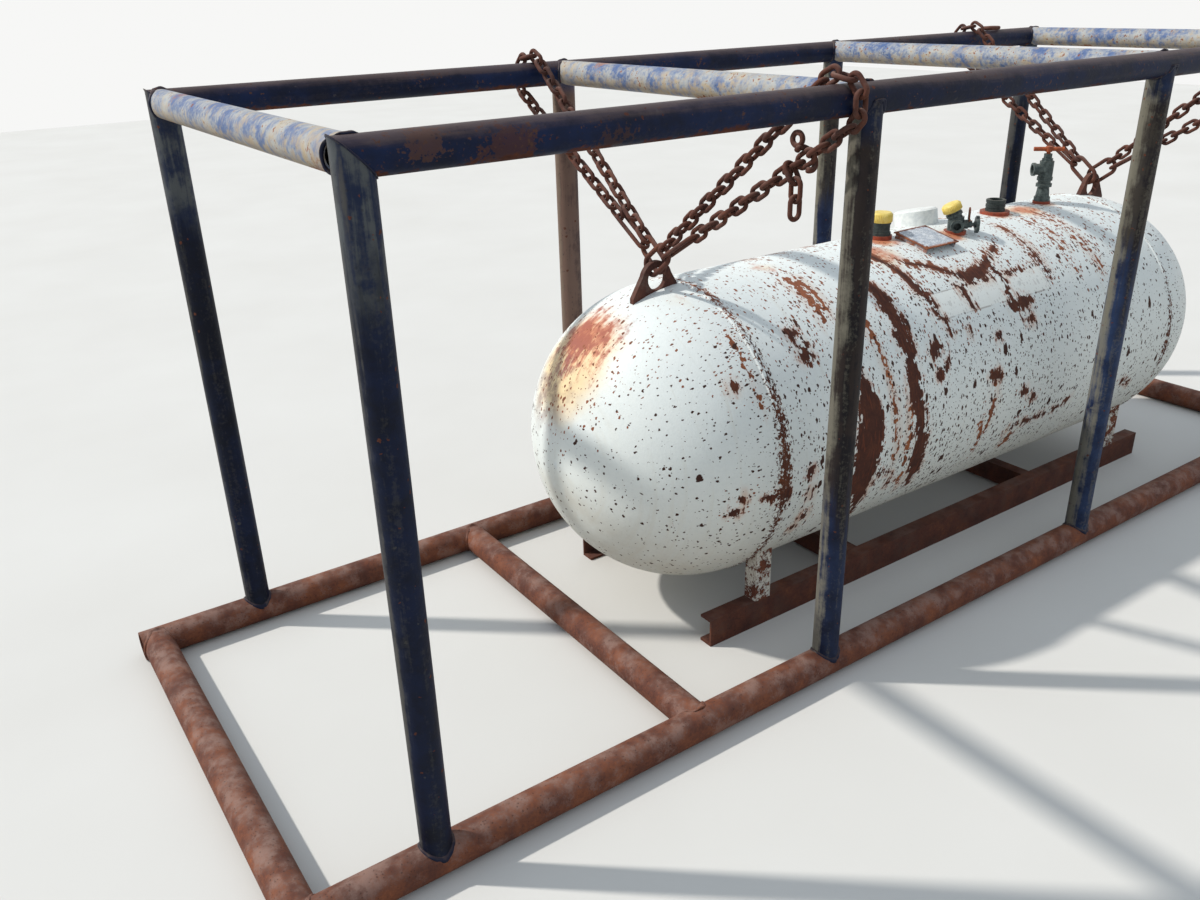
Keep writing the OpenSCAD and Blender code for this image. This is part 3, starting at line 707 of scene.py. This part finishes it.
# On the rails the worn tone and the browned top both lie on top: wear and dust, and a painted sunlit top.
RAIL = pipe_finish("rail_navy", (8, 16, 38), (16, 32, 66), (78, 72, 74), run="x", wear_and_lit_side=(0, 0, 1.0),
                   wear_and_lit_amount=0.35, rust_amount=0.26, top_dust_and_lit=0.5, top=(90, 72, 66), under=0.8, dark=0.72,
                   spots=[((FRAMES_X[0] + 0.23, -CAGE_Y - 0.024, RAIL_Z - 0.022), 0.08, (76, 46, 38)),
                          ((FRAMES_X[0] + 0.42, -CAGE_Y - 0.020, RAIL_Z - 0.026), 0.07, (66, 44, 38)),
                          ((FRAMES_X[0] + 0.10, -CAGE_Y - 0.022, RAIL_Z + 0.016), 0.06, (84, 58, 48))])
CROSS = pipe_finish("cross_pale_blue", (78, 100, 142), (142, 152, 166), (168, 148, 116), run="x",
                    wear_and_lit_side=(-0.6, 0, -0.8), wear_and_lit_amount=0.5, rust_amount=0.12, chalk=0.75, under=0.9,
                    dark=0.34, spots=[((x, 0.33, RAIL_Z + 0.02), 0.05, (150, 92, 66)) for x in FRAMES_X[:2]]
                    + [((x, -CAGE_Y + 0.06, RAIL_Z - 0.012), 0.06, (132, 88, 66)) for x in FRAMES_X[:2]])
BASE = bare_rust("base_pipe_rust", 0.54, (134, 104, 94), 0.6, dust_and_highlight=0.35)
SKID = bare_rust("skid_rust", 0.66, (92, 70, 62), 0.4)
CHAIN = bare_rust("chain_rust", 0.70, (112, 84, 76), 0.35, depth=0.0006, dust_and_highlight=0.4)
LUG = bare_rust("lug_worn_steel", 0.72, (104, 88, 80), 0.5, depth=0.0005, dust_and_highlight=0.35)
BOSS = fitting_finish("boss_red_oxide", (156, 72, 48), (122, 56, 42), 0.25, 0.6)
DARK = fitting_finish("dark_weathered_fitting", (36, 42, 42), (58, 66, 64), 0.10, 0.55)
COVER = fitting_finish("cover_chalky_white", (236, 238, 234), (216, 220, 218), 0.04, 0.5)
CAP = fitting_finish("faded_yellow_plastic", (236, 212, 122), (222, 194, 92), 0.0, 0.5)
VALVE = fitting_finish("valve_green_grey", (48, 58, 58), (88, 98, 96), 0.12, 0.45, metal=0.25)
HANDLE = fitting_finish("handle_orange_rust", (172, 88, 48), (140, 70, 44), 0.3, 0.7)
PLATE = data_plate_finish()
LEG = leg_finish()
TAG = bare_rust("tag_rust", 0.5, depth=0.0004)

LOOKS = {
    TANK: ["tank_shell", "tank_head_near", "tank_head_far"],
    COVER: ["gauge_cover"],
    LUG: ["lifting_lug_near", "lifting_lug_far"],
    BOSS: ["fitting_bosses"],
    PLATE: ["data_plate"],
    DARK: ["fill_riser", "open_coupling"],
    CAP: ["fill_cap", "service_valve_cap"],
    VALVE: ["service_valve_body", "service_valve_handwheel", "tall_valve_body"],
    TAG: ["service_valve_tag"],
    HANDLE: ["tall_valve_handle"],
    LEG: ["tank_legs"],
    SKID: ["skid_runner_front", "skid_runner_back", "skid_cross_members"],
    POST_BLUE: ["post_front_1", "post_back_1", "post_back_4"],
    POST_BROWN: ["post_front_2"],
    POST_TAN: ["post_back_2"],
    POST_FAR: ["post_front_3", "post_front_4", "post_back_3"],
    RAIL: ["top_rail_front", "top_rail_back"],
    CROSS: ["top_cross_1", "top_cross_2", "top_cross_3", "top_cross_4"],
    BASE: ["base_rail_front", "base_rail_back", "base_cross_pipes"],
    CHAIN: ["chain_near_front", "chain_near_back", "chain_far_front", "chain_far_back", "chain_rings"],
}
for material, names in LOOKS.items():
    for name in names:
        node = nodes[name]
        for slot in node.material_slots:
            slot.material = material


def finish_piece(name, bm, material):
    """Turns a bmesh into a smooth piece that rides on the frame."""
    bmesh.ops.recalc_face_normals(bm, faces=bm.faces)
    mesh = bpy.data.meshes.new(name)
    bm.to_mesh(mesh)
    bm.free()
    for polygon in mesh.polygons:
        polygon.use_smooth = True
    mesh.materials.append(material)
    piece = bpy.data.objects.new(name, mesh)
    scene.collection.objects.link(piece)
    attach(piece, "frame")
    return piece


def circle_at(bm, radius, sides, out):
    """A circle across the XZ plane, out from the Z axis."""
    place = Matrix.Translation((out, 0, 0)) @ Matrix.Rotation(math.pi / 2, 4, "X")
    return bmesh.ops.create_circle(bm, segments=sides, radius=radius, matrix=place)


def ring(bm, radius, bead, steps=72, sides=8):
    """A torus round Z at the origin; returns its new vertices."""
    made = circle_at(bm, bead, sides, radius)
    before = set(bm.verts) - set(made["verts"])
    edges = list({e for v in made["verts"] for e in v.link_edges})
    bmesh.ops.spin(bm, geom=edges, axis=(0, 0, 1), cent=(0, 0, 0), angle=2 * math.pi, steps=steps,
                   use_merge=True, use_duplicate=False)
    bmesh.ops.remove_doubles(bm, verts=[v for v in bm.verts if v not in before], dist=1e-6)
    return [v for v in bm.verts if v not in before]


# Radius of the beads, and where the middle base cross pipe lies
SADDLE_BEAD = 0.0034
MITRE_BEAD = 0.0022
SECOND_BASE_X = -0.890


def wobble(v, amount, key):
    """A small repeatable offset from a vertex's own place."""
    s = math.sin(v.x * 311.7 + v.y * 173.3 + v.z * 97.1 + key)
    s += math.sin(v.x * 131.1 - v.z * 227.9 + key * 2.3)
    return s * 0.5 * amount


def saddle_weld(bm, branch_r, run_r, place, turn, key, bead=SADDLE_BEAD):
    """The weld round a branch pipe where it meets a run pipe. In its own frame the branch comes
    down Z onto a run pipe along X, whose axis passes through the origin."""
    made = ring(bm, branch_r + bead * 0.35, bead)
    for v in made:
        across = min(abs(v.co.y), run_r * 0.999)
        lift = math.sqrt(run_r ** 2 - across ** 2)
        v.co.z += lift + bead * 0.2
        v.co += v.co.normalized() * wobble(v.co, bead * 0.35, key)
    bmesh.ops.transform(bm, matrix=Matrix.Translation(place) @ turn, verts=made)


def mitre_weld(bm, radius, place, turn, key, bead=MITRE_BEAD):
    """The weld round two equal pipes cut at 45 degrees: a ring stretched onto the cut's ellipse."""
    made = ring(bm, radius, bead)
    for v in made:
        v.co.z += v.co.x
        v.co += Vector((v.co.x, v.co.y, 0)).normalized() * wobble(v.co, bead * 0.35, key)
    bmesh.ops.transform(bm, matrix=Matrix.Translation(place) @ turn, verts=made)


UP = Matrix.Identity(4)
DOWN = Matrix.Rotation(math.pi, 4, "X")


def cage_welds():
    bm = bmesh.new()
    for side in (-1, 1):
        y = side * CAGE_Y
        for i, x in enumerate(FRAMES_X):
            saddle_weld(bm, PIPE_R, BASE_R, (x, y, BASE_R), UP, key=i + side)
            if i in (1, 2):
                saddle_weld(bm, PIPE_R, PIPE_R, (x, y, RAIL_Z), DOWN, key=3 * i + side)
            else:
                out = -1 if i == 0 else 1
                turn = Matrix.Rotation(math.pi / 2 * (out - 1), 4, "Z")
                mitre_weld(bm, PIPE_R, (x, y, RAIL_Z), turn, key=i)
            lie = Matrix.Rotation(math.pi / 2 * side, 4, "X")
            saddle_weld(bm, PIPE_R, PIPE_R, (x, y, RAIL_Z), lie, key=5 * i + side)
    return finish_piece("cage_weld_beads", bm, WELD)


def base_welds():
    bm = bmesh.new()
    low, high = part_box("base_cross_pipes")
    near = low.x + BASE_R
    far = high.x - BASE_R
    for side in (-1, 1):
        lie = Matrix.Rotation(math.pi / 2 * side, 4, "X")
        for key, x in enumerate((near, SECOND_BASE_X, far)):
            saddle_weld(bm, BASE_R, BASE_R, (x, side * CAGE_Y, BASE_R), lie, key=key)
    for v in bm.verts:  # none of the bead is below the floor
        v.co.z = max(v.co.z, 0.0)
    return finish_piece("base_weld_beads", bm, BASE)


WELD = pipe_finish("weld_dark", (16, 22, 44), (36, 40, 60), rust_amount=0.5, top_dust_and_lit=0.4)
cage_welds()
base_welds()


def domes(bm, places, radius, height, matrix):
    """Rivet heads: balls pressed flat, at places in the matrix's frame."""
    for x, y, z in places:
        made = bmesh.ops.create_uvsphere(bm, u_segments=16, v_segments=8, radius=radius)["verts"]
        bmesh.ops.scale(bm, vec=(1, 1, height / radius), verts=made)
        bmesh.ops.transform(bm, matrix=matrix @ Matrix.Translation((x, y, z)), verts=made)


def ribs(bm, matrix, radius, low, high, count, width=0.0013):
    """Grip ribs round a cap, along its own Z."""
    for i in range(count):
        turn = Matrix.Rotation(2 * math.pi * i / count, 4, "Z")
        place = turn @ Matrix.Translation((radius, 0, (low + high) / 2))
        bmesh.ops.create_cone(bm, cap_ends=True, segments=6, radius1=width, radius2=width, depth=high - low,
                              matrix=matrix @ place)


# Where each cap's foot lies, and its ribs: radius, low end, high end and how many
RISER_CAP = Matrix.Translation((middle("fill_riser", 0), 0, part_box("fill_cap")[0].z))
SERVICE_TURN = Matrix.Rotation(math.radians(-45), 4, "Z")
SERVICE_TILT = Matrix.Rotation(math.radians(-25), 4, "Y")
SERVICE_CAP = Matrix.Translation((0.420, -0.065, 0.866)) @ SERVICE_TURN @ Matrix.Translation(
    (0, 0, 0.014)) @ SERVICE_TILT
RISER_RIBS = (0.0290, 0.001, 0.021, 40)
SERVICE_RIBS = (0.0260, 0.027, 0.043, 36)
# The data plate: its middle on the tank's axis, its turn about it, and its rivets
PLATE_TURN = Matrix.Translation((0.272, 0, TANK_Z)) @ Matrix.Rotation(math.radians(12.3), 4, "X")
RIVET_X, RIVET_Y, RIVET_OUT = 0.058, 0.052, 0.014
RIVET_R, RIVET_HEIGHT = 0.004, 0.0022


def cap_ribs():
    bm = bmesh.new()
    ribs(bm, RISER_CAP, *RISER_RIBS)
    ribs(bm, SERVICE_CAP, *SERVICE_RIBS)
    return finish_piece("cap_grip_ribs", bm, CAP)


def plate_rivets():
    bm = bmesh.new()
    corners = [(sx * RIVET_X, sy * RIVET_Y, TANK_R + RIVET_OUT) for sx in (-1, 1) for sy in (-1, 1)]
    domes(bm, corners, RIVET_R, RIVET_HEIGHT, PLATE_TURN)
    return finish_piece("plate_rivets", bm, TAG)


# The hook's place on the near front chain: along is the chain's way there, across is nearly level
HOOK_AT = Vector((-0.5815, -0.4470, 1.1935))
HOOK_ALONG = Vector((-0.0787, 0.8318, -0.5495))
HOOK_ACROSS = Vector((0.9969, 0.0656, -0.0434))
HOOK_BAR, HOOK_BEND = 0.0062, 0.0242
HOOK_START, HOOK_SWEEP = math.radians(-128), math.radians(236)
EYE_BEND, EYE_BAR = 0.0125, 0.0055
EYE_UP, EYE_ASIDE = 0.0415, 0.002


def grab_hook():
    """The hook that holds the near front chain together where its tail hangs: a bar bent round an
    edgewise link, with its eye above."""
    along = HOOK_ALONG.normalized()
    across = HOOK_ACROSS.normalized()
    down = along.cross(across)
    place = Matrix((across, down, along)).transposed().to_4x4()
    place.translation = HOOK_AT
    bm = bmesh.new()
    section = circle_at(bm, HOOK_BAR, 12, HOOK_BEND)["verts"]
    bmesh.ops.rotate(bm, cent=(0, 0, 0), matrix=Matrix.Rotation(HOOK_START, 3, "Z"), verts=section)
    edges = list({e for v in section for e in v.link_edges})
    start = list(edges)
    bent = bmesh.ops.spin(bm, geom=edges, axis=(0, 0, 1), cent=(0, 0, 0), angle=HOOK_SWEEP, steps=30)
    last = [g for g in bent["geom_last"] if isinstance(g, bmesh.types.BMEdge)]
    bmesh.ops.contextual_create(bm, geom=start)
    bmesh.ops.contextual_create(bm, geom=last)
    bmesh.ops.transform(bm, matrix=place, verts=bm.verts)
    eye = ring(bm, EYE_BEND, EYE_BAR, 32, 10)
    lift = Matrix.Translation(place.translation - down * EYE_UP - across * EYE_ASIDE)
    upright = Matrix((along, down, -across)).transposed().to_4x4()
    bmesh.ops.transform(bm, matrix=lift @ upright, verts=eye)
    return finish_piece("grab_hook", bm, CHAIN)


cap_ribs()
plate_rivets()
grab_hook()


def floor_finish():
    """Pale where the camera sees it, and darker for the light that it throws back on the tank."""
    f = Finish("pale_floor")
    net = f.net
    soft = net.noise(f.place, 1.3, 3.0)
    pale = net.tones(soft, (206, 203, 197), (217, 215, 210))
    path = net.node("ShaderNodeLightPath")
    seen = net.most(path.outputs["Is Camera Ray"], path.outputs["Is Glossy Ray"])
    return f.close(net.mix(seen, linear(176, 168, 152), pale), 0.9)


FLOOR_SIZE = 14.0


def make_floor():
    bm = bmesh.new()
    bmesh.ops.create_grid(bm, x_segments=2, y_segments=2, size=FLOOR_SIZE)
    mesh = bpy.data.meshes.new("floor")
    bm.to_mesh(mesh)
    bm.free()
    mesh.materials.append(floor_finish())
    floor = bpy.data.objects.new("floor", mesh)
    scene.collection.objects.link(floor)


make_floor()

# Camera: where the photographer stood, looking down at the tank
CAMERA_AT = Vector((-2.050, -1.886, 1.502))
CAMERA_RIGHT = Vector((0.8221, -0.5688, -0.0266))
CAMERA_UP = Vector((0.2547, 0.3255, 0.9106))
FOCAL_PIXELS = 1017.7
IMAGE_WIDTH = 1200
SENSOR_MM = 36.0


def make_camera():
    data = bpy.data.cameras.new("camera")
    data.sensor_fit = "HORIZONTAL"
    data.sensor_width = SENSOR_MM
    data.lens = FOCAL_PIXELS / IMAGE_WIDTH * SENSOR_MM
    data.clip_start = 0.02
    camera = bpy.data.objects.new("camera", data)
    right = CAMERA_RIGHT.normalized()
    back = right.cross(CAMERA_UP).normalized()
    up = back.cross(right)
    turn = Matrix((right, up, back)).transposed().to_4x4()
    camera.matrix_world = Matrix.Translation(CAMERA_AT) @ turn
    scene.collection.objects.link(camera)
    scene.camera = camera


make_camera()

# Light: a soft sun from behind on the left, and a pale sky all round
SUN_AZIMUTH = math.radians(140.0)
SUN_HEIGHT = math.radians(43.0)
SUN_POWER = 3.1
SUN_SPREAD = math.radians(2.0)
SUN_COLOUR = (1.0, 0.97, 0.92)
SKY_COLOUR = (0.79, 0.885, 1.0, 1.0)
SKY_POWER = 0.73
BACKDROP = (0.93, 0.93, 0.92, 1.0)


def make_lights():
    flat = math.cos(SUN_HEIGHT)
    towards = Vector((flat * math.cos(SUN_AZIMUTH), flat * math.sin(SUN_AZIMUTH), math.sin(SUN_HEIGHT)))
    data = bpy.data.lights.new("sun", "SUN")
    data.energy = SUN_POWER
    data.angle = SUN_SPREAD
    data.color = SUN_COLOUR
    sun = bpy.data.objects.new("sun", data)
    sun.rotation_euler = towards.to_track_quat("Z", "Y").to_euler()
    scene.collection.objects.link(sun)
    world = bpy.data.worlds.new("sky")
    world.use_nodes = True
    net = Net(world.node_tree)
    plain = net.nodes["Background"]
    plain.inputs["Color"].default_value = SKY_COLOUR
    plain.inputs["Strength"].default_value = SKY_POWER
    seen = net.node("ShaderNodeBackground")
    seen.inputs["Color"].default_value = BACKDROP
    seen.inputs["Strength"].default_value = 1.0
    path = net.node("ShaderNodeLightPath")
    direct = net.most(path.outputs["Is Camera Ray"], path.outputs["Is Glossy Ray"])
    both = net.node("ShaderNodeMixShader")
    net.put(both.inputs[0], direct)
    net.put(both.inputs[1], plain.outputs[0])
    net.put(both.inputs[2], seen.outputs[0])
    net.put(net.nodes["World Output"].inputs[0], both.outputs[0])
    scene.world = world


make_lights()
scene.view_settings.view_transform = "Standard"
